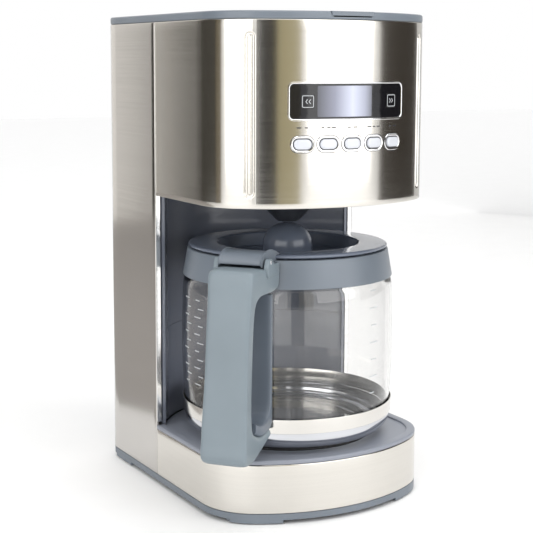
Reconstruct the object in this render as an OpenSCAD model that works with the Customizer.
// Twelve-cup drip coffee maker with a steel-wrapped body and a glass carafe.
// The origin is on the counter, under the middle of the body's footprint.
// +Z is up, the curved front faces -Y, and +X is to the right as seen from the front.

/* [Body] */
// Width across the flat sides
body_w = 176; // [168:1:212]
// Depth from the back to the middle of the curved front
body_d = 221; // [212:1:266]
// Height from the counter to the top of the rim
body_h = 355; // [335:1:426]
// Radius of the curved front
front_r = 133; // [126:1:160]
// Radius of the two front corners
front_corner_r = 44; // [34:1:52]
// Radius of the two rear corners
rear_corner_r = 10.5; // [8:0.5:14]
// Depth of the rear column, from the back to the seam in the side
column_d = 89.5; // [84:0.5:96]
// Height of the head, from its lower edge to the top of the rim
head_h = 133.3; // [125:0.1:160]
// Height of the grey rim round the top
rim_h = 5.6; // [4:0.1:8]
// Thickness of the steel wraps
sheet_t = 1; // [0.6:0.1:1.4]
// Wall of the plastic mouldings
wall_t = 2.5; // [2:0.1:3]

/* [Base] */
// Height of the deck's rim above the counter
deck_z = 46; // [42:0.5:56]
// Height of the steel band's lower edge
band_low_z = 7.6; // [6.5:0.1:9]
// Gap under the skirt between the foot pads
skirt_z = 3; // [2:0.1:4]
// Radius of the warming plate
plate_r = 62; // [54:0.5:65]
// Distance from the curved front to the carafe's axis
brew_setback = 86.3; // [84:0.1:104]
// Radius of the four rubber feet
foot_r = 6; // [5:0.5:7]

/* [Carafe] */
// Largest radius of the glass
glass_r = 79.5; // [66:0.1:80]
// Thickness of the glass
glass_t = 2.4; // [1.8:0.1:3]
// Height of the plastic collar
collar_h = 20.3; // [17:0.1:25]
// Direction of the handle, in degrees to the left of straight ahead
handle_turn = 49; // [0:1:60]
// Width of the grip
grip_w = 33; // [27:0.5:40]
// How far the lower end of the grip stands out from the glass
grip_stand = 56.5; // [50:0.5:66]
// Depth of the grip, between its front face and the fingers
grip_t = 13; // [10:0.5:15]
// How much smaller the carafe lid's radius is than the glass's
lid_step = 5.1; // [4:0.1:8]
// Width of the flat rim round the dish in the carafe lid
lid_rim_w = 20.9; // [17:0.1:25]
// Radius of the lid's middle dome
dome_r = 18.7; // [15:0.1:21]
// Height of the steel band round the glass
glass_band_h = 10.4; // [8:0.1:12.4]

/* [Brewing] */
// Outer radius of the brewing chamber
chamber_r = 62; // [51.5:0.5:63]
// Wall of the brew basket
basket_t = 1.8; // [1.4:0.1:2.2]
// Travel of the drip-stop valve
valve_travel = 2; // [1:0.1:2.4]
// Free height over the closed basket
basket_lift = 8; // [6:0.5:10]

/* [Controls] */
// Width of the display frame, along the curve
display_w = 95.5; // [80:0.5:102]
// Height of the display frame
display_h = 26.5; // [22:0.5:30]
// Number of pill buttons in the row
button_count = 5; // [3:1:5]
// Distance between two buttons, along the curve
button_pitch = 18.6; // [18.3:0.1:20]
// Width of one button with its ring
button_w = 17; // [14:0.1:17.6]
// Height of one button with its ring
button_h = 11.5; // [9:0.1:13.8]
// Travel of a button
button_travel = 1; // [0.6:0.1:1.2]

/* [Hidden] */

// Arcs: fine for body and carafe, coarse for small round parts
$fn = 96;
small_fn = 32;
// Clearances
part_gap = 0.3;
slip_gap = 0.15;
pin_gap = 0.05;
eps = 0.01;
far = 400;

// Colours
steel = [0.72, 0.70, 0.67];
grey = [0.47, 0.51, 0.56];
slate = [0.24, 0.26, 0.30];
pale_grey = [0.58, 0.63, 0.67];

// Plan of the body: flat sides, rounded rear corners and a curved front
rear_y = body_d / 2;
front_y = -body_d / 2;
seam_y = rear_y - column_d;
arc_y = front_y + front_r;
corner_x = body_w / 2 - front_corner_r;
corner_y = arc_y - sqrt(pow(front_r - front_corner_r, 2) - pow(corner_x, 2));
arc_half = asin(corner_x / (front_r - front_corner_r));
brew_y = front_y + brew_setback;

// Heights of the body
band_top_z = deck_z - 3.2;
head_z = body_h - head_h;
steel_top_z = body_h - rim_h;
shell_inset = sheet_t + part_gap;
core_inset = shell_inset + wall_t;

module body_outline(inset = 0) {
    rear_r = max(rear_corner_r - inset, 1);
    translate([-body_w / 2 + inset, corner_y])
        square([body_w - 2 * inset, rear_y - inset - rear_r - corner_y]);
    translate([-body_w / 2 + inset + rear_r, 0])
        square([body_w - 2 * (inset + rear_r), rear_y - inset]);
    for (side = [-1, 1]) {
        translate([side * (body_w / 2 - inset - rear_r), rear_y - inset - rear_r])
            circle(r = rear_r);
        translate([side * corner_x, corner_y])
            circle(r = front_corner_r - inset);
    }
    intersection() {
        translate([0, arc_y])
            circle(r = front_r - inset);
        polygon([
            [0, arc_y],
            [-far * sin(arc_half), arc_y - far * cos(arc_half)],
            [far * sin(arc_half), arc_y - far * cos(arc_half)]]);
    }
}

module body_slab(z_low, z_high, inset = 0) {
    translate([0, 0, z_low])
        linear_extrude(height = z_high - z_low)
            body_outline(inset);
}

module body_ring(z_low, z_high, inset, thickness) {
    translate([0, 0, z_low])
        linear_extrude(height = z_high - z_low)
            difference() {
                body_outline(inset);
                body_outline(inset + thickness);
            }
}

// Radii and reach of the carafe's pieces that follow its glass
lid_r = glass_r - lid_step;
dish_r = lid_r - lid_rim_w;
grip_reach = glass_r + grip_stand;

// Everything in front of, or behind, a plane of constant y
module before(y) {
    translate([-far, y - 2 * far, -far])
        cube([2 * far, 2 * far, 3 * far]);
}

module behind(y) {
    translate([-far, y, -far])
        cube([2 * far, 2 * far, 3 * far]);
}

module at_brew_axis() {
    translate([0, brew_y, 0])
        children();
}

module tube(r_out, r_in, z_low, z_high) {
    translate([0, 0, z_low])
        difference() {
            cylinder(r = r_out, h = z_high - z_low);
            translate([0, 0, -1])
                cylinder(r = r_in, h = z_high - z_low + 2);
        }
}

module disc(r, z_low, z_high) {
    translate([0, 0, z_low])
        cylinder(r = r, h = z_high - z_low);
}

module box(low, high) {
    translate(low)
        cube(high - low);
}

// A round bar swept along a path, mitred at every point; a bore above 0 makes it a pipe
function unit(v) = v / norm(v);
function across(d) = unit(cross(d, abs(d[2]) < 0.9 ? [0, 0, 1] : [1, 0, 0]));
function bent(points, bend) = concat(
    [points[0]],
    [for (i = [1 : len(points) - 2])
        let (
            p = points[i],
            a = p - bend * unit(p - points[i - 1]),
            b = p + bend * unit(points[i + 1] - p))
            for (t = [0 : 0.25 : 1]) (1 - t) * (1 - t) * a + 2 * t * (1 - t) * p + t * t * b],
    [points[len(points) - 1]]);
function first_ring(path, r, sides) =
    let (d = unit(path[1] - path[0]), u = across(d), v = cross(d, u))
        [for (k = [0 : sides - 1])
            path[0] + r * (cos(360 * k / sides) * u + sin(360 * k / sides) * v)];
function joint_normal(path, i) =
    let (d = unit(path[i] - path[i - 1]))
        i == len(path) - 1 ? d : unit(d + unit(path[i + 1] - path[i]));
function next_ring(ring, path, i) =
    let (d = unit(path[i + 1] - path[i]), n = joint_normal(path, i + 1))
        [for (q = ring) q + d * ((path[i + 1] - q) * n) / (d * n)];
function ring_points(path, r, sides) = [
    for (i = 0, ring = first_ring(path, r, sides);
        i < len(path);
        ring = i < len(path) - 1 ? next_ring(ring, path, i) : ring, i = i + 1)
        for (q = ring) q];

module pipe(path, r, bore = 0, sides = 16) {
    count = len(path);
    inner = count * sides;
    last = inner - sides;
    wall = [
        for (i = [0 : count - 2])
            for (k = [0 : sides - 1])
                let (n = (k + 1) % sides)
                    [i * sides + k, (i + 1) * sides + k, (i + 1) * sides + n, i * sides + n]];
    if (bore > 0)
        polyhedron(
            points = concat(ring_points(path, r, sides), ring_points(path, bore, sides)),
            faces = concat(
                wall,
                [for (f = wall) [f[3] + inner, f[2] + inner, f[1] + inner, f[0] + inner]],
                [for (k = [0 : sides - 1])
                    let (n = (k + 1) % sides) [k, n, n + inner, k + inner]],
                [for (k = [0 : sides - 1])
                    let (n = (k + 1) % sides)
                        [last + k + inner, last + n + inner, last + n, last + k]]),
            convexity = 10);
    else
        polyhedron(
            points = ring_points(path, r, sides),
            faces = concat(
                wall,
                [[for (k = [0 : sides - 1]) k]],
                [[for (k = [sides - 1 : -1 : 0]) last + k]]),
            convexity = 10);
}

// ---------------------------------------------------------------- base

pad_z = 0.8;
foot_top_z = 4;
foot_pad_r = foot_r + 2;
foot_turn = 52;
foot_from_corner = front_corner_r - core_inset - foot_pad_r - 1;
foot_x = corner_x + foot_from_corner * cos(foot_turn);
foot_front_y = corner_y - foot_from_corner * sin(foot_turn);
foot_rear_y = rear_y - 25;
feet = [
    [-foot_x, foot_front_y], [foot_x, foot_front_y],
    [-foot_x, foot_rear_y], [foot_x, foot_rear_y]];
cover_low_z = skirt_z + 0.6;
cover_top_z = cover_low_z + 2.4;
screw_r = 1.6;
screw_head_r = 3.2;
cover_screws = [
    [-corner_x, corner_y - 12], [corner_x, corner_y - 12],
    [-corner_x - 12, seam_y + 16], [corner_x + 12, seam_y + 16]];
boss_r = 4.5;
boss_h = 9;

module foot_pads() {
    intersection() {
        body_ring(pad_z, skirt_z + 1, 0, core_inset);
        union() {
            for (side = [-1, 1]) {
                box([side * 63.5 - 15.5, front_y, 0], [side * 63.5 + 15.5, corner_y, far]);
                box([side * body_w / 2 - 8, rear_y - 40.5, 0],
                    [side * body_w / 2 + 8, rear_y - 11.5, far]);
            }
        }
    }
}

module base_shell() {
    color(grey)
        difference() {
            union() {
                body_ring(skirt_z, band_low_z - slip_gap, 0, core_inset);
                body_ring(band_low_z - slip_gap - eps, band_top_z - slip_gap, shell_inset, wall_t);
                foot_pads();
                for (p = cover_screws)
                    translate([p[0], p[1], cover_top_z + slip_gap])
                        cylinder(r = boss_r, h = boss_h, $fn = small_fn);
                // webs that carry the screw bosses on the wall
                intersection() {
                    body_slab(0, band_top_z, shell_inset + 1);
                    for (p = cover_screws)
                        box([p[0] < 0 ? -body_w / 2 : p[0], p[1] - 1.2, cover_top_z + slip_gap],
                            [p[0] < 0 ? p[0] : body_w / 2, p[1] + 1.2, cover_top_z + boss_h]);
                }
            }
            for (p = cover_screws)
                translate([p[0], p[1], 0])
                    cylinder(r = screw_r + pin_gap, h = 18, $fn = small_fn);
            gland_hole();
        }
}

module base_band() {
    color(steel)
        intersection() {
            body_ring(band_low_z, band_top_z, 0, sheet_t);
            before(seam_y - part_gap);
        }
}

deck_plate_t = 2;
bay_r = body_w / 2 + 5;
deck_rim_w = 6;
gasket_w = 2.2;
plate_hole_r = plate_r + gasket_w + part_gap;

module bay_outline(inset) {
    intersection() {
        body_outline(inset);
        union() {
            translate([-far, seam_y - part_gap - inset - far])
                square([2 * far, far]);
            translate([0, brew_y])
                circle(r = bay_r - max(inset, part_gap));
        }
    }
}

module deck() {
    color(grey)
        difference() {
            union() {
                translate([0, 0, band_top_z])
                    linear_extrude(height = deck_z - band_top_z)
                        difference() {
                            bay_outline(0);
                            bay_outline(deck_rim_w);
                        }
                translate([0, 0, band_top_z - deck_plate_t + 2])
                    linear_extrude(height = deck_plate_t)
                        bay_outline(deck_rim_w - eps);
                // skirt that locates the deck inside the base
                translate([0, 0, band_top_z - 5])
                    linear_extrude(height = 5 + eps)
                        intersection() {
                            difference() {
                                body_outline(core_inset + slip_gap);
                                body_outline(core_inset + slip_gap + 1.8);
                            }
                            translate([-far, seam_y - 4 - far])
                                square([2 * far, far]);
                        }
            }
            at_brew_axis()
                disc(plate_hole_r, 0, far);
        }
}

module vent_slots(x_half, y_low, count, pitch, slot_w) {
    for (i = [0 : count - 1])
        box([-x_half, y_low + i * pitch, -1], [x_half, y_low + i * pitch + slot_w, far]);
}

module bottom_cover() {
    color(slate)
        difference() {
            union() {
                body_slab(cover_low_z, cover_top_z, core_inset + slip_gap);
                for (p = feet)
                    translate([p[0], p[1], pad_z])
                        cylinder(r = foot_pad_r, h = cover_top_z - pad_z, $fn = small_fn);
            }
            for (p = feet)
                translate([p[0], p[1], 0])
                    cylinder(r = foot_r + slip_gap, h = foot_top_z, $fn = small_fn);
            for (p = cover_screws)
                translate([p[0], p[1], 0]) {
                    cylinder(r = screw_r + slip_gap, h = 20, $fn = small_fn);
                    cylinder(r = screw_head_r + slip_gap, h = cover_low_z + 1.2, $fn = small_fn);
                }
            vent_slots(22, brew_y - 28, 8, 8, 2.4);
            vent_slots(16, seam_y + 26, 4, 8, 2.4);
        }
}

// A cross-slot screw whose head faces -Z
module screw(head_h, length) {
    difference() {
        union() {
            cylinder(r = screw_head_r, h = head_h, $fn = small_fn);
            cylinder(r = screw_r, h = length, $fn = small_fn);
        }
        for (a = [0, 90])
            rotate([0, 0, a])
                translate([-2, -0.4, -1])
                    cube([4, 0.8, 1.8]);
    }
}

module bottom_screws() {
    color("gray")
        for (p = cover_screws)
            translate([p[0], p[1], cover_low_z - 0.5])
                screw(1.7, 11);
}

module rubber_feet() {
    color([0.08, 0.08, 0.08])
        for (p = feet)
            translate([p[0], p[1], 0])
                cylinder(r = foot_r, h = foot_top_z - slip_gap, $fn = small_fn);
}

// ---------------------------------------------------------------- warming plate and heater

plate_top_z = deck_z + 1.7;
plate_t = 1.5;
heater_top_z = plate_top_z - plate_t;
heater_r = 44;
heater_gap_angle = 50;
tail_r = 4.6;
tail_h = 14;
heater_end_x = heater_r * sin(heater_gap_angle);
heater_end_y = brew_y + heater_r * cos(heater_gap_angle) + tail_h - 2;
element_r = 4.2;
water_pipe_r = 5.4;
pipe_bore_r = 3.6;
element_z = heater_top_z - element_r - 1.4;
water_pipe_z = element_z - element_r - water_pipe_r + 0.8;

module warming_plate() {
    color([0.12, 0.12, 0.13])
        at_brew_axis()
            rotate_extrude()
                polygon([
                    [0, heater_top_z], [plate_r - 5, heater_top_z], [plate_r - 1.5, heater_top_z - 2.2],
                    [plate_r - 1.5, heater_top_z - 6], [plate_r, heater_top_z - 6],
                    [plate_r, plate_top_z - 3], [plate_r - 4, plate_top_z - 0.6],
                    [plate_r - 9, plate_top_z - 0.6], [plate_r - 10, plate_top_z], [0, plate_top_z]]);
}

module plate_gasket() {
    color([0.15, 0.15, 0.16])
        at_brew_axis() {
            tube(plate_r + slip_gap + gasket_w - 0.3, plate_r + slip_gap, band_top_z - 4, deck_z - 0.8);
            tube(plate_hole_r + 2, plate_r + slip_gap, band_top_z - 4, band_top_z - 2 + part_gap);
        }
}

// A C-shaped bar of round section that starts and ends at the gap at the rear
module c_bar(r_section, z) {
    rotate([0, 0, 90 + heater_gap_angle])
        rotate_extrude(angle = 360 - 2 * heater_gap_angle)
            translate([heater_r, z])
                circle(r = r_section, $fn = small_fn);
}

// The two ends of the C, from which the tails run straight back
module at_tail(side, z) {
    translate([side * heater_end_x, heater_r * cos(heater_gap_angle) - 2, z])
        rotate([-90, 0, 0])
            children();
}

module heater() {
    color([0.66, 0.66, 0.68])
        at_brew_axis()
            difference() {
                union() {
                    c_bar(element_r, element_z);
                    c_bar(water_pipe_r, water_pipe_z);
                    // cast web and the flat that touches the plate
                    rotate([0, 0, 90 + heater_gap_angle])
                        rotate_extrude(angle = 360 - 2 * heater_gap_angle)
                            translate([heater_r - 3.6, water_pipe_z])
                                square([7.2, heater_top_z - slip_gap - water_pipe_z]);
                    for (side = [-1, 1]) {
                        at_tail(side, water_pipe_z)
                            cylinder(r = tail_r, h = tail_h, $fn = small_fn);
                        at_tail(side, element_z)
                            cylinder(r = 1.6, h = 5, $fn = small_fn);
                    }
                }
                c_bar(pipe_bore_r, water_pipe_z);
                for (side = [-1, 1])
                    at_tail(side, water_pipe_z)
                        cylinder(r = pipe_bore_r, h = 20, $fn = small_fn);
            }
}

bracket_z = water_pipe_z - water_pipe_r - 0.3;

module heater_bracket() {
    color([0.6, 0.6, 0.6])
        at_brew_axis()
            difference() {
                union() {
                    box([-heater_r - 12, -7, bracket_z - 1.5], [heater_r + 12, 7, bracket_z]);
                    disc(3, bracket_z - eps, heater_top_z - slip_gap);
                    for (side = [-1, 1])
                        box([side * (heater_r + 11) - 1, -7, bracket_z - eps],
                            [side * (heater_r + 11) + 1, 7, heater_top_z - 3.5]);
                }
                disc(1.6, 0, heater_top_z - 1);
            }
}

module thermostat() {
    color([0.75, 0.74, 0.7])
        translate([0, brew_y - 24, 0]) {
            disc(8, heater_top_z - 3.4, heater_top_z - slip_gap);
            disc(6.5, heater_top_z - 12, heater_top_z - 3.4 + eps);
            for (side = [-1, 1])
                box([side * 4 - 2, -0.4, heater_top_z - 18], [side * 4 + 2, 0.4, heater_top_z - 12 + eps]);
        }
}

module thermal_fuse() {
    color([0.86, 0.84, 0.78])
        translate([0, brew_y + 22, heater_top_z - 3.4])
            rotate([0, 90, 0]) {
                translate([0, 0, -15])
                    cylinder(r = 3, h = 30, $fn = small_fn);
                translate([0, 0, -22])
                    cylinder(r = 0.8, h = 44, $fn = small_fn);
            }
}

board_z = 16;
board_front_y = seam_y + 22;
board_rear_y = rear_y - 14;

module power_board() {
    color([0.20, 0.42, 0.26])
        box([-60, board_front_y, board_z], [-8, board_rear_y, board_z + 1.6]);
    color([0.15, 0.15, 0.16]) {
        // relay, transformer and capacitor
        box([-56, board_front_y + 6, board_z + 1.5], [-38, board_front_y + 21, board_z + 17]);
        box([-34, board_front_y + 6, board_z + 1.5], [-12, board_front_y + 26, board_z + 19]);
        translate([-22, board_front_y + 42, board_z + 1.5])
            cylinder(r = 6, h = 12, $fn = small_fn);
    }
}

wire_r = 1.4;
wire_x = body_w / 2 - 9.5;
wire_y = rear_y - 25;

wire_front_y = -62;
wire_side = body_w / 2 - 7;

module wiring_loom() {
    color([0.75, 0.75, 0.72]) {
        // from the power board up the side of the tank to the control board
        pipe(bent([
            [-10, wire_y, board_z + 8], [wire_x, wire_y, board_z + 12],
            [wire_x, wire_y, tank_top_z + 8], [wire_side - 6, wire_y - 30, tank_top_z + 8],
            [wire_side - 4, seam_y - 20, tank_top_z + 2], [wire_side - 8, wire_front_y + 8, display_z + 14],
            [40, pcb_y + 4, display_z + 8]], 5), wire_r, 0, 10);
        // from the cord inlet to the power board
        pipe(bent([
            [gland_x, rear_y - 15, gland_z], [gland_x, rear_y - 20, gland_z],
            [0, rear_y - 20, gland_z], [-10, rear_y - 20, board_z + 4]], 4), wire_r, 0, 10);
    }
}

// ---------------------------------------------------------------- power cord inlet

gland_x = 52;
gland_z = 26;
gland_r = 7;
gland_bore_r = 3.6;
gland_flange_r = 9.5;

module gland_axis() {
    translate([gland_x, rear_y, gland_z])
        rotate([90, 0, 0])
            children();
}

module gland_hole() {
    gland_axis()
        translate([0, 0, -5])
            cylinder(r = gland_r + slip_gap, h = 20);
}

module cord_gland() {
    color([0.1, 0.1, 0.1])
        gland_axis()
            difference() {
                union() {
                    translate([0, 0, -3])
                        cylinder(r = gland_flange_r, h = 3 - 0.1);
                    translate([0, 0, -0.5])
                        cylinder(r = gland_r, h = 12);
                }
                translate([0, 0, -5])
                    cylinder(r = gland_bore_r, h = 30);
            }
}

// ---------------------------------------------------------------- rear column

rear_window_w = 132;
flange_w = 4.4;
panel_t = 2.4;
panel_split_z = 117.5;
cover_t = 2.2;
rear_cover_low_z = band_top_z + 4;
rear_cover_high_z = steel_top_z - 8;
rear_screw_x = rear_window_w / 2 - 10;
rear_screw_z = [rear_cover_low_z + 12, rear_cover_high_z - 12];

module rear_wrap() {
    color(steel)
        difference() {
            union() {
                intersection() {
                    body_ring(band_low_z, steel_top_z, 0, sheet_t);
                    behind(seam_y);
                }
                // front edges folded inwards beside the bay
                for (side = [-1, 1])
                    box([side * (body_w / 2 - flange_w / 2 - 0.5) - flange_w / 2 + 0.1, seam_y, deck_z + 2.5],
                        [side * (body_w / 2 - flange_w / 2 - 0.5) + flange_w / 2 - 0.1,
                         seam_y + sheet_t, head_z - part_gap]);
            }
            box([-rear_window_w / 2, rear_y - 5, rear_cover_low_z],
                [rear_window_w / 2, rear_y + 1, rear_cover_high_z]);
            gland_hole();
        }
}

module rear_cover() {
    color(grey)
        difference() {
            union() {
                box([-rear_window_w / 2 + part_gap, rear_y - cover_t, rear_cover_low_z + part_gap],
                    [rear_window_w / 2 - part_gap, rear_y, rear_cover_high_z - part_gap]);
                // rebate that sits behind the edge of the steel
                box([-rear_window_w / 2 - 4, rear_y - cover_t - 1.5, rear_cover_low_z + 0.5],
                    [rear_window_w / 2 + 4, rear_y - sheet_t - part_gap, rear_cover_high_z - 0.5]);
            }
            // vents low down and the overflow hole near the top
            for (row = [0 : 5])
                for (side = [-1, 1])
                    box([side * 30 - 14, rear_y - 8, rear_cover_low_z + 8 + row * 7],
                        [side * 30 + 14, rear_y + 1, rear_cover_low_z + 10.6 + row * 7]);
            translate([0, rear_y - 10, tank_top_z - 6])
                rotate([-90, 0, 0])
                    cylinder(r = 4, h = 20, $fn = small_fn);
            for (side = [-1, 1])
                for (z = rear_screw_z)
                    translate([side * rear_screw_x, rear_y + 1, z])
                        rotate([90, 0, 0])
                            cylinder(r = screw_r + slip_gap, h = 20, $fn = small_fn);
        }
}

module rear_screws() {
    color("gray")
        for (side = [-1, 1])
            for (z = rear_screw_z)
                translate([side * rear_screw_x, rear_y + 1.7, z])
                    rotate([90, 0, 0])
                        screw(1.6, 7);
}

module bay_wall(z_low, z_high) {
    intersection() {
        at_brew_axis()
            tube(bay_r + panel_t, bay_r, z_low, z_high);
        behind(seam_y);
        box([-body_w / 2 + 5.5, -far, 0], [body_w / 2 - 5.5, far, far]);
    }
    // lips beside the folded steel edges
    for (side = [-1, 1])
        box([side * (body_w / 2 - 6.7) - 1, seam_y, z_low],
            [side * (body_w / 2 - 6.7) + 1, seam_y + 9, z_high]);
}

module column_panel_upper() {
    color(slate)
        bay_wall(panel_split_z + part_gap, head_z - part_gap);
}

module column_panel_lower() {
    color([0.30, 0.32, 0.37])
        bay_wall(deck_z + 0.2, panel_split_z);
}

// ---------------------------------------------------------------- water system

tank_t = 2.2;
tank_low_z = 56;
tank_top_z = steel_top_z - 16;
tank_side = body_w / 2 - 18.5;
tank_wall_r = bay_r + panel_t + 1;
tank_front_y = seam_y + 4;
tank_rear_y = rear_y - 6;

module tank_section(inset) {
    difference() {
        translate([-tank_side + inset, tank_front_y + inset])
            square([2 * (tank_side - inset), tank_rear_y - tank_front_y - 2 * inset]);
        translate([0, brew_y])
            circle(r = tank_wall_r + inset);
    }
}

outlet_x = tank_side - 13.5;
outlet_y = rear_y - 36;
outlet_r = 5;

module water_tank() {
    color([0.35, 0.37, 0.41])
        difference() {
            union() {
                translate([0, 0, tank_low_z])
                    linear_extrude(height = tank_top_z - tank_low_z)
                        tank_section(0);
                translate([outlet_x, outlet_y, tank_low_z - 9])
                    cylinder(r = outlet_r, h = 10, $fn = small_fn);
            }
            translate([0, 0, tank_low_z + tank_t])
                linear_extrude(height = tank_top_z)
                    tank_section(tank_t);
            translate([outlet_x, outlet_y, tank_low_z - 20])
                cylinder(r = outlet_r - 1.6, h = 40, $fn = small_fn);
            // overflow hole, in line with the one in the rear cover
            translate([0, tank_rear_y - 5, tank_top_z - 6])
                rotate([-90, 0, 0])
                    cylinder(r = 3.5, h = 20, $fn = small_fn);
        }
}

filter_x = -tank_side + 15.5;
filter_y = rear_y - 27;
filter_r = 13;
filter_low_z = tank_low_z + tank_t + 0.2;

module filter_holder() {
    color([0.85, 0.86, 0.86])
        translate([filter_x, filter_y, 0]) {
            difference() {
                disc(filter_r, filter_low_z, filter_low_z + 30);
                disc(filter_r - 1.5, filter_low_z + 1.5, far);
                for (a = [0 : 45 : 135])
                    rotate([0, 0, a])
                        box([-20, -1.5, filter_low_z + 6], [20, 1.5, filter_low_z + 26]);
            }
            // stem that lets it be lifted out
            translate([0, 10.5, 0])
                box([-2, -1.3, filter_low_z + 26], [2, 1.3, tank_top_z - 30]);
        }
}

module charcoal_filter() {
    color([0.16, 0.16, 0.17])
        translate([filter_x, filter_y, 0])
            disc(filter_r - 1.9, filter_low_z + 1.7, filter_low_z + 22);
}

check_z = 38;
hose_r = 6.4;
pipe_sides = 16;
hose_bore_r = (tail_r + pin_gap) / cos(180 / pipe_sides);
hose_grip = 9;
hose_low_z = 22;
riser_x = -body_w / 2 + 11;
riser_y = seam_y + 28;
nozzle_z = steel_top_z - 9.5;
shower_y = brew_y + 40;
pour_gap = 1.5;
hose_bend = 6;
cold_route = [
    [outlet_x, outlet_y, check_z - 5.2],
    [outlet_x, outlet_y, hose_low_z],
    [outlet_x - 4, heater_end_y + 24, hose_low_z + 2],
    [heater_end_x, heater_end_y + 12, water_pipe_z],
    [heater_end_x, heater_end_y - hose_grip, water_pipe_z]];
hot_route = [
    [-heater_end_x, heater_end_y - hose_grip, water_pipe_z],
    [-heater_end_x, heater_end_y + 14, water_pipe_z],
    [riser_x + 15, riser_y - 6, water_pipe_z - 3],
    [riser_x, riser_y, water_pipe_z + 8],
    [riser_x, riser_y, nozzle_z],
    [0, riser_y + 4, nozzle_z],
    [0, shower_y + 4 + pour_gap, nozzle_z]];

module check_valve() {
    color([0.9, 0.9, 0.88])
        translate([outlet_x, outlet_y, 0])
            difference() {
                union() {
                    disc(7.4, check_z - 5, check_z + 5);
                    disc(tail_r, check_z - 9.4, check_z + 8.8);
                }
                disc(2.4, 0, far);
            }
}

module cold_hose() {
    color([0.82, 0.80, 0.76])
        pipe(bent(cold_route, hose_bend), hose_r, hose_bore_r, pipe_sides);
}

module riser_tube() {
    color([0.88, 0.87, 0.84])
        pipe(bent(hot_route, hose_bend), hose_r, hose_bore_r, pipe_sides);
}

module clip_ring(h) {
    difference() {
        cylinder(r = hose_r + 1.2, h = h, $fn = small_fn);
        translate([0, 0, -1])
            cylinder(r = hose_r + slip_gap, h = h + 2, $fn = small_fn);
    }
}

module hose_clips() {
    color([0.7, 0.7, 0.7]) {
        translate([outlet_x, outlet_y, check_z - 9.1])
            clip_ring(3.5);
        for (side = [-1, 1])
            translate([side * heater_end_x, heater_end_y - 5, water_pipe_z])
                rotate([90, 0, 0])
                    clip_ring(3.5);
    }
}

// ---------------------------------------------------------------- head

groove_w = 7.6;
groove_depth = 0.7;
groove_angle = 31.6;
groove_low_z = head_z + 7.5;
groove_high_z = steel_top_z - 8.2;
display_z = head_z + 72.8;
button_z = head_z + 43.9;
button_angle = button_pitch / front_r * 180 / PI;
lens_margin = 1.6;
key_size = 9.6;
key_angle = 34.2 / front_r * 180 / PI;

// Places children on the curved front: local -Y is straight out
module on_front(angle, z) {
    translate([0, arc_y, z])
        rotate([0, 0, angle])
            children();
}

// A bar along the local -Y axis with a rounded rectangular section
module pill_bar(w, h, corner, r_low, r_high) {
    rotate([90, 0, 0])
        translate([0, 0, r_low])
            linear_extrude(height = r_high - r_low) {
                square([w - 2 * corner, h], center = true);
                square([w, h - 2 * corner], center = true);
                for (sx = [-1, 1])
                    for (sz = [-1, 1])
                        translate([sx * (w / 2 - corner), sz * (h / 2 - corner)])
                            circle(r = corner, $fn = small_fn);
            }
}

module each_button() {
    for (i = [0 : button_count - 1])
        on_front((i - (button_count - 1) / 2) * button_angle, button_z)
            children();
}

module display_block(margin, r_low, r_high) {
    half = (display_w / 2 - margin) / front_r * 180 / PI;
    on_front(0, display_z)
        rotate([0, 0, -90 - half])
            rotate_extrude(angle = 2 * half)
                translate([r_low, -display_h / 2 + margin])
                    square([r_high - r_low, display_h - 2 * margin]);
}

module head_wrap() {
    color(steel)
        difference() {
            union() {
                intersection() {
                    body_ring(head_z, steel_top_z, 0, sheet_t);
                    before(seam_y - part_gap);
                }
                // pressed-in grooves stand proud on the inside
                for (side = [-1, 1])
                    on_front(side * groove_angle, (groove_low_z + groove_high_z) / 2)
                        groove_bar(groove_w + 1, front_r - sheet_t - groove_depth, front_r - sheet_t + 0.4);
            }
            for (side = [-1, 1])
                on_front(side * groove_angle, (groove_low_z + groove_high_z) / 2)
                    groove_bar(groove_w, front_r - groove_depth, front_r + 6);
            display_block(1.2, front_r - 8, front_r + 4);
            each_button()
                pill_bar(button_w - 1.6, button_h - 1.6, 4.2, front_r - 12, front_r + 6);
        }
}

module groove_bar(w, r_low, r_high) {
    h = groove_high_z - groove_low_z;
    pill_bar(w, h, w / 2 - eps, r_low, r_high);
}

hatch_r = 34;

module head_shell() {
    color(grey)
        difference() {
            union() {
                intersection() {
                    body_ring(head_z + 0.6, steel_top_z - 0.2, shell_inset, wall_t);
                    before(seam_y - part_gap);
                }
                // floor of the head over the bay
                translate([0, 0, head_z + 0.6])
                    linear_extrude(height = wall_t)
                        intersection() {
                            body_outline(shell_inset + eps);
                            union() {
                                translate([-far, seam_y - part_gap - far])
                                    square([2 * far, far]);
                                translate([0, brew_y])
                                    circle(r = bay_r);
                            }
                        }
            }
            at_brew_axis()
                disc(hatch_r, 0, far);
            for (side = [-1, 1])
                on_front(side * groove_angle, (groove_low_z + groove_high_z) / 2)
                    groove_bar(groove_w + 2, front_r - 2.4, front_r + 6);
            display_block(1, front_r - 12, front_r + 4);
            each_button()
                pill_bar(button_w - 1, button_h - 1, 4.5, front_r - 14, front_r + 6);
        }
}

ring_proud = 0.8;

module button_rings() {
    color([0.85, 0.85, 0.86])
        each_button()
            difference() {
                union() {
                    pill_bar(button_w, button_h, 5, front_r + 0.1, front_r + ring_proud);
                    pill_bar(button_w - 2, button_h - 2, 4, front_r - 4.6, front_r + 0.4);
                }
                pill_bar(button_w - 4, button_h - 4, 3.2, front_r - 9, front_r + 6);
            }
}

pcb_depth = 18.5;
pcb_y = front_y + pcb_depth;
switch_h = 4.4;

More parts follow.
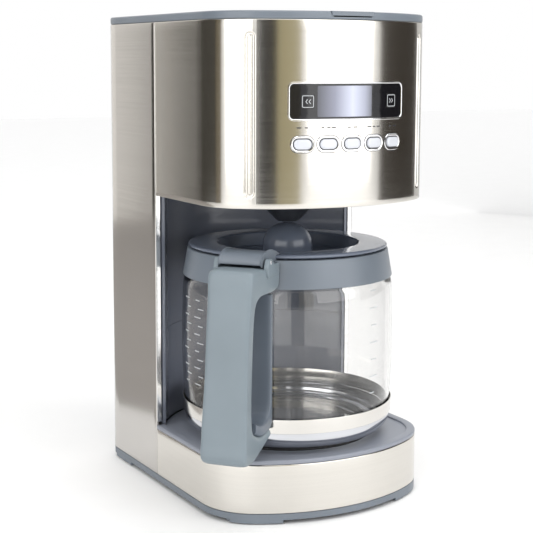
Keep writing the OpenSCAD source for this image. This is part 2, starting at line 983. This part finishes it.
module button_cap(index) {
    angle = (index - (button_count - 1) / 2) * button_angle;
    stem_end = (front_r - pcb_depth + switch_h) / cos(angle) + button_travel + part_gap;
    color([0.9, 0.9, 0.91])
        on_front(angle, button_z) {
            pill_bar(button_w - 4 - 2 * part_gap, button_h - 4 - 2 * part_gap, 2.9, front_r - 4, front_r + 1.7);
            rotate([90, 0, 0])
                translate([0, 0, stem_end])
                    cylinder(r = 2, h = front_r - 3.9 - stem_end, $fn = small_fn);
        }
}

module button_1() { button_cap(0); }
module button_2() { button_cap(1); }
module button_3() { button_cap(2); }
module button_4() { button_cap(3); }
module button_5() { button_cap(4); }

module display_bezel() {
    color([0.8, 0.8, 0.82])
        difference() {
            union() {
                display_block(0, front_r + 0.1, front_r + 0.9);
                display_block(1.4, front_r - 3.2, front_r + 0.5);
            }
            display_block(lens_margin + 1.2, front_r - 9, front_r + 5);
        }
}

module display_lens() {
    color([0.05, 0.05, 0.06])
        difference() {
            display_block(lens_margin + 1.4, front_r - 2.6, front_r + 0.5);
            for (side = [-1, 1])
                on_front(side * key_angle, display_z)
                    pill_bar(key_size + 0.6, key_size + 0.6, 1.2, front_r - 9, front_r + 6);
        }
}

lcd_w = 50;
lcd_h = 17;

module lcd_module() {
    color([0.30, 0.36, 0.42])
        box([-lcd_w / 2, pcb_y - 7, display_z - lcd_h / 2], [lcd_w / 2, pcb_y - 0.1, display_z + lcd_h / 2]);
}

module control_board() {
    color([0.20, 0.42, 0.26])
        box([-47, pcb_y, button_z - 9], [47, pcb_y + 1.6, display_z + 13]);
    // push switches behind the buttons and the two keys
    color([0.12, 0.12, 0.12]) {
        for (i = [0 : button_count - 1]) {
            angle = (i - (button_count - 1) / 2) * button_angle;
            tact_switch((front_r - pcb_depth) * tan(angle), button_z);
        }
        for (side = [-1, 1])
            tact_switch(side * (front_r - pcb_depth) * tan(key_angle), display_z);
    }
}

module tact_switch(x, z) {
    box([x - 3, pcb_y - 3, z - 3], [x + 3, pcb_y + 0.1, z + 3]);
    translate([x, pcb_y - 2.9, z])
        rotate([90, 0, 0])
            cylinder(r = 1.7, h = switch_h - 3, $fn = small_fn);
}

module key_cap(side) {
    stem_end = (front_r - pcb_depth + switch_h) / cos(key_angle) + 0.8 + part_gap;
    color([0.1, 0.1, 0.11])
        on_front(side * key_angle, display_z) {
            pill_bar(key_size, key_size, 0.9, front_r - 3.4, front_r + 0.9);
            rotate([90, 0, 0])
                translate([0, 0, stem_end])
                    cylinder(r = 1.8, h = front_r - 3.3 - stem_end, $fn = small_fn);
        }
}

module key_left() { key_cap(-1); }
module key_right() { key_cap(1); }

// ---------------------------------------------------------------- top

frame_w = 9;
hinge_y = rear_y - 16;
hinge_z = body_h - 3.6;
hinge_x = 52;
hinge_pin_r = 1.5;
knuckle_r = 3;
knuckle_w = 8;
ear_w = 3;
ear_nose = 2.6;
ear_rise = 2.4;
opening_rear_y = hinge_y - 3.4;
lid_t = 3;
tab_w = 33.6;
tab_depth = 11;

module top_frame() {
    color(grey)
        difference() {
            union() {
                translate([0, 0, steel_top_z])
                    linear_extrude(height = rim_h)
                        difference() {
                            body_outline(0);
                            intersection() {
                                body_outline(frame_w);
                                translate([-far, opening_rear_y - 2 * far])
                                    square([2 * far, 2 * far]);
                            }
                            // room for the lid's knuckles between the ears
                            for (side = [-1, 1])
                                translate([side * hinge_x - knuckle_w / 2 - part_gap, opening_rear_y - 1])
                                    square([knuckle_w + 2 * part_gap, hinge_y - opening_rear_y + knuckle_r + 1.8]);
                        }
                // lip that drops inside the mouldings
                translate([0, 0, steel_top_z - 4])
                    linear_extrude(height = 4 + eps)
                        difference() {
                            body_outline(core_inset + slip_gap);
                            body_outline(core_inset + slip_gap + 1.8);
                        }
                // ledge that the lid rests on
                translate([0, 0, steel_top_z])
                    linear_extrude(height = rim_h - lid_t - 0.2)
                        intersection() {
                            difference() {
                                body_outline(frame_w - eps);
                                body_outline(frame_w + 3);
                            }
                            translate([-far, hinge_y - 12 - 2 * far])
                                square([2 * far, 2 * far]);
                        }
                hinge_ears();
            }
            box([-tab_w / 2 - part_gap, front_y - 1, body_h - lid_t - 0.2],
                [tab_w / 2 + part_gap, front_y + frame_w + 3, body_h + 1]);
            for (side = [-1, 1])
                translate([side * hinge_x - 15, hinge_y, hinge_z])
                    rotate([0, 90, 0])
                        cylinder(r = hinge_pin_r + pin_gap, h = 30, $fn = small_fn);
        }
}

module hinge_ears() {
    for (side = [-1, 1])
        for (end = [-1, 1]) {
            x = side * hinge_x + end * (knuckle_w / 2 + part_gap + ear_w / 2);
            box([x - ear_w / 2, hinge_y - ear_nose, hinge_z - 3.5],
                [x + ear_w / 2, hinge_y + 7, hinge_z + ear_rise]);
        }
}

module lid_hinge_pins() {
    color([0.7, 0.7, 0.72])
        for (side = [-1, 1])
            translate([side * hinge_x - 8, hinge_y, hinge_z])
                rotate([0, 90, 0])
                    cylinder(r = hinge_pin_r, h = 16, $fn = small_fn);
}

module top_lid() {
    color(grey)
        difference() {
            union() {
                translate([0, 0, body_h - lid_t])
                    linear_extrude(height = lid_t)
                        intersection() {
                            body_outline(frame_w + 0.5);
                            translate([-far, hinge_y - 5.5 - 2 * far])
                                square([2 * far, 2 * far]);
                        }
                box([-tab_w / 2, front_y + 0.4, body_h - lid_t],
                    [tab_w / 2, front_y + tab_depth + frame_w, body_h]);
                for (side = [-1, 1]) {
                    translate([side * hinge_x - knuckle_w / 2, hinge_y, hinge_z])
                        rotate([0, 90, 0])
                            cylinder(r = knuckle_r, h = knuckle_w, $fn = small_fn);
                    box([side * hinge_x - knuckle_w / 2, hinge_y - 7, hinge_z - 1],
                        [side * hinge_x + knuckle_w / 2, hinge_y, hinge_z + 2.9]);
                }
                // posts that carry the shower head
                for (side = [-1, 1])
                    translate([side * 24, brew_y, shower_top_z])
                        cylinder(r = 3, h = body_h - lid_t - shower_top_z + eps, $fn = small_fn);
            }
            for (side = [-1, 1])
                translate([side * hinge_x - 15, hinge_y, hinge_z])
                    rotate([0, 90, 0])
                        cylinder(r = hinge_pin_r + pin_gap, h = 30, $fn = small_fn);
        }
}

shower_r = 34;
shower_top_z = steel_top_z - 12;
shower_low_z = shower_top_z - 5;

module shower_head() {
    color(slate)
        difference() {
            union() {
                at_brew_axis()
                    disc(shower_r, shower_low_z, shower_top_z - slip_gap);
                box([-8, brew_y + shower_r - 6, shower_low_z],
                    [8, shower_y + 4, shower_top_z - slip_gap]);
            }
            // dish for the water, then the ring of outlets
            at_brew_axis()
                disc(shower_r - 6, shower_low_z + 2, shower_top_z - 1.6);
            box([-5, brew_y + 10, shower_low_z + 2], [5, shower_y + 5, shower_top_z + 1]);
            for (a = [0 : 30 : 330])
                translate([24 * cos(a), brew_y + 24 * sin(a), 0])
                    disc(1.2, 0, shower_low_z + 3);
            for (a = [0 : 60 : 300])
                translate([12 * cos(a), brew_y + 12 * sin(a), 0])
                    disc(1.2, 0, shower_low_z + 3);
        }
}

// ---------------------------------------------------------------- brewing chamber and basket

chamber_top_z = shower_low_z - 5;
basket_rim_z = shower_low_z - basket_lift - 0.5;
basket_r = chamber_r - wall_t - 1;
nose_z = head_z - 18.4;
nose_r = 8.2;
cone_top_r = 42;
cone_top_z = nose_z + cone_top_r - nose_r;
seat_z = nose_z + 11;
shelf_z = seat_z + 3.4;
valve_bore_r = 5.3;
valve_stem_r = 5;

module brew_chamber() {
    color([0.30, 0.32, 0.36])
        at_brew_axis()
            rotate_extrude()
                polygon([
                    [hatch_r + 1, head_z + 0.6 + wall_t + 0.2],
                    [chamber_r - 6, head_z + 0.6 + wall_t + 0.2],
                    [chamber_r, cone_top_z + 3],
                    [chamber_r, chamber_top_z],
                    [chamber_r - wall_t, chamber_top_z],
                    [chamber_r - wall_t, cone_top_z + 4],
                    [chamber_r - 8, head_z + 2 * wall_t + 3],
                    [hatch_r + 1, head_z + 2 * wall_t + 1]]);
}

module brew_basket() {
    color([0.20, 0.21, 0.24])
        at_brew_axis()
            difference() {
                union() {
                    rotate_extrude()
                        polygon([
                            [valve_bore_r, nose_z], [nose_r, nose_z], [cone_top_r, cone_top_z],
                            [basket_r - 3, basket_rim_z - 3], [basket_r, basket_rim_z - 3],
                            [basket_r, basket_rim_z], [basket_r - 3 - basket_t, basket_rim_z],
                            [cone_top_r - basket_t, cone_top_z + 0.8],
                            [nose_r + shelf_z - nose_z - 1.4 * basket_t, shelf_z],
                            [valve_bore_r + 6, shelf_z], [valve_bore_r + 6, seat_z],
                            [valve_bore_r, seat_z]]);
                    // cross bar that holds the top of the spring, and two finger tabs
                    box([-spring_bar, -3, spring_top_z], [spring_bar, 3, spring_top_z + 2]);
                    for (side = [-1, 1])
                        box([side * (basket_r - 4) - 3, -9, basket_rim_z - 1],
                            [side * (basket_r - 4) + 3, 9, basket_rim_z + 5]);
                    // ribs that hold the paper filter off the wall
                    for (a = [15 : 30 : 345])
                        rotate([0, 0, a])
                            rotate([90, 0, 0])
                                translate([0, 0, -0.6])
                                    linear_extrude(height = 1.2)
                                        polygon([
                                            [cone_top_r - basket_t + 0.4, cone_top_z + 1],
                                            [cone_top_r - basket_t - 1.6, cone_top_z + 1],
                                            [basket_r - 7, basket_rim_z - 12],
                                            [basket_r - 3 - basket_t - 0.4, basket_rim_z - 12]]);
                }
                disc(valve_bore_r, nose_z - 1, seat_z + 1);
            }
}

dome_gap = part_gap;
valve_low_z = nose_z - 1.2;
flange_low_z = seat_z + 0.9;
flange_t = 1.8;
spring_low_z = flange_low_z + flange_t + 0.05;
spring_top_z = spring_low_z + 9 + 2 * valve_travel;
spring_bar = nose_r + spring_top_z - nose_z - 1.5;
spring_r = 5;
spring_wire_r = 0.45;
spring_turns = 5;

module drip_valve() {
    color([0.75, 0.75, 0.76])
        at_brew_axis()
            rotate_extrude()
                polygon([
                    [0, valve_low_z], [valve_stem_r - 1.2, valve_low_z], [valve_stem_r, valve_low_z + 1.2],
                    [valve_stem_r, flange_low_z], [valve_bore_r + 4, flange_low_z],
                    [valve_bore_r + 4, flange_low_z + flange_t], [3.8, flange_low_z + flange_t],
                    [3.8, flange_low_z + flange_t + 5], [0, flange_low_z + flange_t + 5]]);
}

module valve_seal() {
    color([0.7, 0.25, 0.2])
        at_brew_axis()
            tube(valve_bore_r + 3.6, valve_stem_r + 0.05, seat_z + 0.2, flange_low_z - 0.02);
}

spring_steps = 80;
spring_rise = spring_top_z - spring_low_z - 2 * spring_wire_r - 0.1;
spring_path = [
    for (i = [0 : spring_steps])
        [spring_r * cos(360 * spring_turns * i / spring_steps),
         spring_r * sin(360 * spring_turns * i / spring_steps),
         spring_low_z + spring_wire_r + spring_rise * i / spring_steps]];

module valve_spring() {
    color([0.7, 0.7, 0.7])
        at_brew_axis()
            pipe(spring_path, spring_wire_r, 0, 8);
}

// ---------------------------------------------------------------- carafe

carafe_low_z = plate_top_z + part_gap;
dome_top_z = valve_low_z - dome_gap;
lid_top_z = dome_top_z - 14.1;
collar_top_z = lid_top_z - 3.6;
collar_low_z = collar_top_z - collar_h;
collar_top_r = lid_r + 0.6;
collar_low_r = glass_r - 0.9;
neck_r = lid_r - 3.9;
neck_top_z = collar_top_z - 3;
shoulder_z = collar_low_z - 3;
foot_bend_z = carafe_low_z + 17;
glass_waist_r = glass_r - 2.2;

module on_carafe() {
    translate([0, brew_y, 0])
        children();
}

// Local -Y is along the handle, local +X is its right-hand side
module on_handle() {
    on_carafe()
        rotate([0, 0, -handle_turn])
            children();
}

// Radius of the barrel-shaped glass wall, u = 0 at the lower bend and 1 at the shoulder
function barrel_r(u) = glass_waist_r + (glass_r - glass_waist_r) * sin(180 * pow(u, 0.8));
function barrel_z(u) = foot_bend_z + (shoulder_z - foot_bend_z) * u;
wall_steps = 10;
function glass_profile(inset) = concat(
    [[0, carafe_low_z + inset], [glass_waist_r - 15 - inset * 0.4, carafe_low_z + inset]],
    [for (a = [15 : 15 : 75])
        [glass_waist_r - 15 + (15 - inset) * sin(a), foot_bend_z - (17 - inset) * cos(a)]],
    [for (i = [0 : wall_steps]) [barrel_r(i / wall_steps) - inset, barrel_z(i / wall_steps)]],
    [[glass_r - 4 - inset, shoulder_z + 3], [neck_r - inset * 0.9, shoulder_z + 6.5],
        [neck_r - inset, neck_top_z]]);

module carafe_glass() {
    outer = glass_profile(0);
    inner = glass_profile(glass_t);
    color([0.8, 0.85, 0.87, 0.4])
        on_carafe()
            rotate_extrude()
                polygon(concat(outer, [for (i = [len(inner) - 1 : -1 : 0]) inner[i]]));
}

band_z = foot_bend_z - 4;

module carafe_band() {
    color([0.75, 0.75, 0.76])
        on_carafe() {
            rotate_extrude()
                polygon([
                    [glass_waist_r + 0.35, band_z], [glass_waist_r + 1.15, band_z],
                    [glass_r + 0.15, band_z + glass_band_h], [glass_r - 0.65, band_z + glass_band_h]]);
        }
}

module carafe_collar() {
    color(grey)
        on_carafe()
            difference() {
                union() {
                    rotate_extrude()
                        polygon([
                            [glass_r - 3.4, collar_low_z], [collar_low_r, collar_low_z],
                            [collar_top_r, collar_top_z], [neck_r - 3.6, collar_top_z],
                            [neck_r - 3.6, collar_top_z - 2], [neck_r + 0.2, collar_top_z - 2],
                            [neck_r + 0.2, shoulder_z + 7], [glass_r - 3.8, shoulder_z + 3.6]]);
                    // pouring lip opposite the handle
                    rotate([0, 0, 180 - handle_turn])
                        spout();
                }
                disc(neck_r - 3.6, collar_low_z + 6, far);
            }
}

module spout() {
    translate([0, 0, collar_top_z - 9])
        linear_extrude(height = 9)
            polygon([
                [-14, -collar_top_r + 3], [14, -collar_top_r + 3],
                [4, -collar_top_r - 5], [-4, -collar_top_r - 5]]);
}

// Side view of the grip: r_grip gives its front face, t = 0 at the top and 1 at the bottom
grip_top_z = collar_top_z - 0.4;
grip_low_z = carafe_low_z + 4;
grip_lean = 16;
grip_bulge = 1.7;
strap_r = glass_r + 1.6;
strap_t = 4;
bracket_w = 40;
pin_reach = glass_r + 15.5;
pin_z = lid_top_z - 1.6;
lever_w = 31;
handle_pin_r = 1.5;

function r_grip(t) = grip_reach - grip_lean * (1 - t) + 4 * grip_bulge * t * (1 - t);
function z_grip(t) = grip_top_z - (grip_top_z - grip_low_z) * t;
front_face = [for (t = [0 : 0.1 : 1]) [r_grip(t), z_grip(t)]];
finger_side = [for (t = [0.3 : 0.1 : 0.8]) [r_grip(t) - grip_t, z_grip(t)]];

// Extrudes a side view (distance from the axis, height) across the handle
module across_handle(width) {
    on_handle()
        rotate([90, 0, -90])
            linear_extrude(height = width, center = true)
                children();
}

module handle_side() {
    difference() {
        polygon(concat(
            [[strap_r - 4, grip_top_z]],
            front_face,
            [[grip_reach - 3, grip_low_z - 2.4], [grip_reach - 8, grip_low_z - 3]],
            [[strap_r + 3, grip_low_z + 10], [strap_r, grip_low_z + 13], [strap_r, collar_low_z - 2],
             [strap_r - 4, collar_low_z]]));
        finger_hole();
    }
}

module finger_hole() {
    polygon(concat(
        [[strap_r + strap_t, collar_low_z - 3], [r_grip(0.17) - grip_t - 4, collar_low_z - 3]],
        finger_side,
        [[r_grip(0.86) - grip_t - 3, grip_low_z + 20.5], [strap_r + strap_t + 2, grip_low_z + 24],
         [strap_r + strap_t, grip_low_z + 27]]));
}

// Strap along the glass and the upper half of the lower arm
module liner_side() {
    intersection() {
        handle_side();
        polygon([
            [strap_r - 1, collar_low_z - 4], [strap_r + strap_t + 1, collar_low_z - 4],
            [strap_r + strap_t + 1, grip_low_z + 30], [grip_reach - grip_t - 4, grip_low_z + 24],
            [grip_reach - grip_t - 4, grip_low_z + 9], [strap_r + 2, grip_low_z + 19],
            [strap_r - 1, grip_low_z + 19]]);
    }
}

module carafe_handle() {
    color(pale_grey)
        difference() {
            union() {
                across_handle(grip_w)
                    difference() {
                        handle_side();
                        offset(delta = slip_gap)
                            liner_side();
                    }
                // wider bracket at the collar, with two ears for the lid's hinge pin
                across_handle(bracket_w)
                    polygon([
                        [strap_r - 4, collar_low_z + 1], [strap_r + 4, collar_low_z + 1],
                        [pin_reach + 5, grip_top_z - 6], [pin_reach + 5, grip_top_z],
                        [pin_reach + 2.4, pin_z + 2.4], [pin_reach - 2.4, pin_z + 2.4],
                        [pin_reach - 6, grip_top_z], [strap_r - 4, grip_top_z]]);
            }
            // room for the collar and for the lever of the lid
            on_carafe()
                translate([0, 0, collar_low_z - 1])
                    cylinder(r1 = collar_low_r + 0.4, r2 = collar_top_r + 0.3, h = collar_h + 4);
            across_handle(lever_w + 2)
                polygon([
                    [strap_r - 8, grip_top_z - 1.6], [pin_reach + 11, grip_top_z - 1.6],
                    [pin_reach + 11, pin_z + 9], [strap_r - 8, pin_z + 9]]);
            across_handle(bracket_w + 4)
                translate([pin_reach, pin_z])
                    circle(r = handle_pin_r + pin_gap, $fn = small_fn);
            screw_path(screw_r + slip_gap);
        }
}

module handle_liner() {
    color([0.42, 0.46, 0.51])
        difference() {
            across_handle(grip_w - 1)
                liner_side();
            screw_path(screw_r + slip_gap);
        }
}

screw_z = grip_low_z + 16;

module screw_path(r) {
    on_handle()
        translate([0, -strap_r + 2, screw_z])
            rotate([90, 0, 0])
                cylinder(r = r, h = 18, $fn = small_fn);
}

module handle_screw() {
    color("gray")
        on_handle()
            translate([0, -strap_r - 15.4, screw_z])
                rotate([-90, 0, 0])
                    cylinder(r = screw_r, h = 15, $fn = small_fn);
}

module carafe_lid_pin() {
    color([0.8, 0.8, 0.8])
        across_handle(bracket_w + 1)
            translate([pin_reach, pin_z])
                circle(r = handle_pin_r, $fn = small_fn);
}

dome_base_z = lid_top_z - 5;
dish_floor_z = lid_top_z - 10;
function dome_point(a) = [
    dome_r * pow(cos(a), 0.95),
    dome_base_z + (dome_top_z - dome_base_z) * pow(sin(a), 0.85)];

module carafe_lid() {
    color(grey)
        difference() {
            union() {
                on_carafe()
                    rotate_extrude()
                        polygon(concat(
                            [[0, dish_floor_z - 2], [dish_r + 1.5, dish_floor_z - 2],
                             [dish_r + 2.4, lid_top_z - 2.6], [neck_r - 4.2, lid_top_z - 2.8],
                             [lid_r - 2, lid_top_z - 2.8], [lid_r, lid_top_z - 1.8],
                             [lid_r - 0.6, lid_top_z - 0.4], [lid_r - 3, lid_top_z],
                             [dish_r, lid_top_z], [dish_r - 1, dish_floor_z],
                             [dome_r, dish_floor_z]],
                            [for (a = [0 : 10 : 80]) dome_point(a)],
                            [[0, dome_top_z]]));
                // lever and knuckle over the handle
                across_handle(lever_w)
                    polygon([
                        [dish_r + 8, lid_top_z - 1], [lid_r - 3, lid_top_z + 2.2], [lid_r + 6, lid_top_z + 4.6],
                        [pin_reach - 6, lid_top_z + 5], [pin_reach, lid_top_z + 4.2],
                        [pin_reach + 5, lid_top_z + 1.6], [pin_reach + 7.6, lid_top_z - 2],
                        [pin_reach + 7.6, grip_top_z + 0.6], [lid_r - 1, lid_top_z - 2.4],
                        [dish_r + 8, lid_top_z - 2.4]]);
                across_handle(lever_w)
                    translate([pin_reach, pin_z])
                        circle(r = 2.6, $fn = small_fn);
            }
            across_handle(lever_w + 4)
                translate([pin_reach, pin_z])
                    circle(r = handle_pin_r + pin_gap, $fn = small_fn);
        }
}

base_shell();
base_band();
deck();
bottom_cover();
bottom_screws();
rubber_feet();
warming_plate();
plate_gasket();
heater();
heater_bracket();
thermostat();
thermal_fuse();
power_board();
wiring_loom();
cord_gland();
rear_wrap();
rear_cover();
rear_screws();
column_panel_upper();
column_panel_lower();
water_tank();
filter_holder();
charcoal_filter();
check_valve();
cold_hose();
riser_tube();
hose_clips();
head_wrap();
head_shell();
brew_chamber();
top_frame();
lid_hinge_pins();
display_bezel();
display_lens();
lcd_module();
control_board();
button_rings();
top_lid();
shower_head();
brew_basket();
drip_valve();
valve_seal();
valve_spring();
key_left();
key_right();
button_1();
button_2();
button_3();
button_4();
button_5();
carafe_glass();
carafe_collar();
carafe_band();
carafe_handle();
handle_liner();
handle_screw();
carafe_lid_pin();
carafe_lid();
